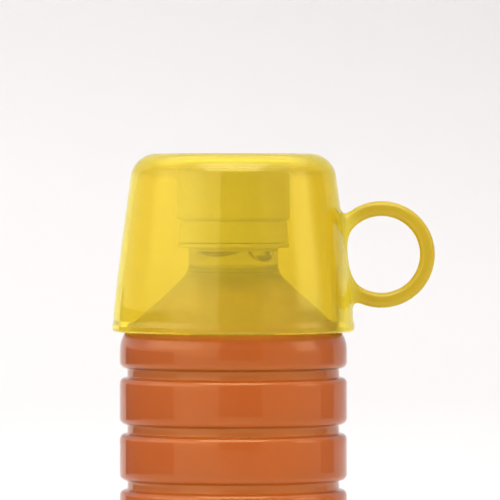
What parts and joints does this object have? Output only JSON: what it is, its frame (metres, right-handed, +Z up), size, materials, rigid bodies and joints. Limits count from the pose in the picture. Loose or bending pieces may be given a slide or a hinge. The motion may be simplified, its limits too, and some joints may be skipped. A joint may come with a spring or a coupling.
{
  "type": "detergent dispenser bottle",
  "caption": "Ribbed amber bottle of liquid detergent with a screw cap and tamper band, under an upturned translucent dosing cup with a ring handle.",
  "frame": {"origin": "centre of the base's flat standing ring, on the surface that the bottle stands on", "axes": "+Z up along the bottle's axis, +X towards the cup's ring handle"},
  "size_m": [0.095, 0.0714, 0.202],
  "materials": {
    "clear_pet": "glossy",
    "detergent": "glossy",
    "closure_white": "satin",
    "liner": "satin",
    "cup_yellow": "glossy"
  },
  "bodies": {
    "bottle": {"bottle": "clear_pet", "bottle_finish": "clear_pet", "detergent_fill": "detergent"},
    "tamper_band": {"tamper_band": "closure_white"},
    "liner": {"cap_liner": "liner"},
    "cap": {"screw_cap": "closure_white"},
    "cup": {"dosing_cup": "cup_yellow"}
  },
  "joints": [
    {"name": "band_turn", "type": "hinge", "parent": "bottle", "child": "tamper_band", "pos_m": [0, 0, 0.179], "axis": [0, 0, 1], "continuous": true},
    {"name": "cap_rise", "type": "slide", "parent": "bottle", "child": "liner", "axis": [0, 0, 1], "range_m": [0, 0.0048]},
    {"name": "cap_turn", "type": "hinge", "parent": "liner", "child": "cap", "pos_m": [0, 0, 0.19], "axis": [0, 0, 1], "range_deg": [0, 540]},
    {"name": "cup_lift", "type": "slide", "parent": "cap", "child": "cup", "axis": [0, 0, 1], "range_m": [0, 0.06]}
  ],
  "couplings": [
    {"joint": "cap_rise", "follows": "cap_turn", "m_per_rad": 0.00050611}
  ]
}
